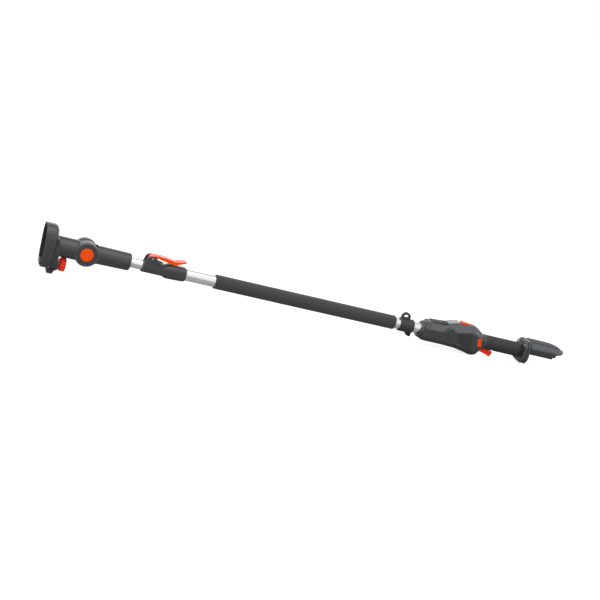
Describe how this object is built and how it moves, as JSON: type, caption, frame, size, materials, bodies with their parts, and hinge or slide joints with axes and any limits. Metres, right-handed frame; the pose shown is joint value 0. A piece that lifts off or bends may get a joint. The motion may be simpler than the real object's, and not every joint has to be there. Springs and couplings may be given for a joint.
{
  "type": "telescoping battery pole saw drive pole",
  "caption": "Telescoping pole with a tilting quick-fit head socket, lever clamp, foam grip, strap eye, trigger handle and slide-on battery foot.",
  "frame": {"origin": "centre of the flat seat in the head socket, on the pole's axis", "axes": "+X along the pole from the head to the battery foot, +Z towards the clamp lever and the thumb button, -Y the operator's left"},
  "size_m": [1.5882, 0.0778, 0.1329],
  "materials": {
    "moulded_plastic": "fine moulded grain, satin",
    "dark_plastic": "smooth black moulding",
    "grip_rubber": "soft matt overmoulding",
    "foam": "closed-cell foam, matt and porous",
    "brushed_aluminium": "drawn and brushed along its length",
    "zinc_steel": "zinc plated",
    "orange_plastic": "satin moulding",
    "red_plastic": "satin moulding",
    "grey_gloss_panel": "glossy insert",
    "black_steel": "black oxide",
    "circuit_board": "solder mask"
  },
  "bodies": {
    "root": {"outer_tube": "brushed_aluminium", "cable_coil": "dark_plastic", "cable_gland": "dark_plastic", "foam_grip": "foam", "clamp_body": "moulded_plastic", "clamp_pin": "zinc_steel", "handle_left": "moulded_plastic", "handle_right": "moulded_plastic", "shell_screw_1": "zinc_steel", "shell_screw_2": "zinc_steel", "shell_screw_3": "zinc_steel", "nose_ring": "moulded_plastic", "side_pad_left": "grip_rubber", "side_pad_right": "grip_rubber", "top_strip": "grip_rubber", "status_panel": "grey_gloss_panel", "thumb_switch": "dark_plastic", "thumb_spring": "zinc_steel", "side_switch": "dark_plastic", "side_spring": "zinc_steel", "trigger_spring": "zinc_steel", "control_board": "circuit_board", "grip_collar": "moulded_plastic", "grip_sleeve": "grip_rubber", "trigger_pin": "zinc_steel", "trigger_switch": "dark_plastic", "rear_flange": "moulded_plastic", "flange_screw_1": "zinc_steel", "flange_screw_2": "zinc_steel", "foot_cover": "moulded_plastic", "foot_pad": "grip_rubber", "rail_frame": "dark_plastic", "terminal_block": "dark_plastic"},
    "arm": {"arm_left": "moulded_plastic", "arm_right": "moulded_plastic", "arm_screw_1": "zinc_steel", "arm_screw_2": "zinc_steel", "inner_tube": "brushed_aluminium", "tube_bush": "dark_plastic"},
    "head": {"head_collar": "moulded_plastic", "contact_block": "dark_plastic", "rear_casing": "moulded_plastic", "neck_fork": "moulded_plastic", "pivot_cover_near": "moulded_plastic", "pivot_cover_far": "moulded_plastic", "pivot_axle": "zinc_steel", "button_spring": "zinc_steel"},
    "lock_button": {"tilt_button": "orange_plastic", "lock_gear": "zinc_steel"},
    "knob": {"lock_knob": "red_plastic", "knob_screw": "zinc_steel"},
    "latch": {"latch_hook": "zinc_steel"},
    "lever": {"clamp_lever": "orange_plastic"},
    "shoe": {"clamp_shoe": "dark_plastic"},
    "strap_eye": {"strap_clamp": "dark_plastic", "strap_screw": "black_steel", "strap_nut": "black_steel"},
    "trigger_lever": {"trigger": "red_plastic"},
    "thumb_switch_button": {"thumb_button": "orange_plastic"},
    "side_lock_button": {"side_button": "orange_plastic"}
  },
  "joints": [
    {"name": "pole_extend", "type": "slide", "parent": "root", "child": "arm", "axis": [-1, 0, 0], "range_m": [0, 0.5], "deforming": ["cable_coil"]},
    {"name": "head_tilt", "type": "hinge", "parent": "arm", "child": "head", "pos_m": [0.091, 0, 0], "axis": [0, 1, 0], "range_deg": [-60, 60]},
    {"name": "tilt_button_press", "type": "slide", "parent": "head", "child": "lock_button", "axis": [0, 1, 0], "range_m": [0, 0.004], "stiffness_N_per_m": 800, "springref_m": -0.003, "deforming": ["button_spring"]},
    {"name": "knob_turn", "type": "hinge", "parent": "head", "child": "knob", "pos_m": [0.03, 0, -0.047], "axis": [1, 0, 0], "range_deg": [0, 1440]},
    {"name": "latch_slide", "type": "slide", "parent": "head", "child": "latch", "axis": [-1, 0, 0], "range_m": [0, 0.008]},
    {"name": "lever_open", "type": "hinge", "parent": "root", "child": "lever", "pos_m": [0.2685, 0, 0.0265], "axis": [0, -1, 0], "range_deg": [0, 110]},
    {"name": "shoe_lift", "type": "slide", "parent": "root", "child": "shoe", "axis": [0, 0, 1], "range_m": [0, 0.001]},
    {"name": "strap_eye_slide", "type": "slide", "parent": "root", "child": "strap_eye", "axis": [1, 0, 0], "range_m": [-0.01, 0.01]},
    {"name": "trigger_squeeze", "type": "hinge", "parent": "root", "child": "trigger_lever", "pos_m": [1.296, 0, -0.009], "axis": [0, -1, 0], "range_deg": [0, 12], "stiffness_Nm_per_rad": 0.6, "springref_deg": -14.32, "deforming": ["trigger_spring"]},
    {"name": "thumb_press", "type": "slide", "parent": "root", "child": "thumb_switch_button", "axis": [0, 0, -1], "range_m": [0, 0.0025], "stiffness_N_per_m": 600, "springref_m": -0.002, "deforming": ["thumb_spring"]},
    {"name": "side_press", "type": "slide", "parent": "root", "child": "side_lock_button", "axis": [0, 1, 0], "range_m": [0, 0.003], "stiffness_N_per_m": 600, "springref_m": -0.002, "deforming": ["side_spring"]}
  ],
  "couplings": [
    {"joint": "knob_turn", "follows": "latch_slide", "rad_per_m": 3141.6},
    {"joint": "shoe_lift", "follows": "lever_open", "m_per_rad": 0.00052}
  ]
}
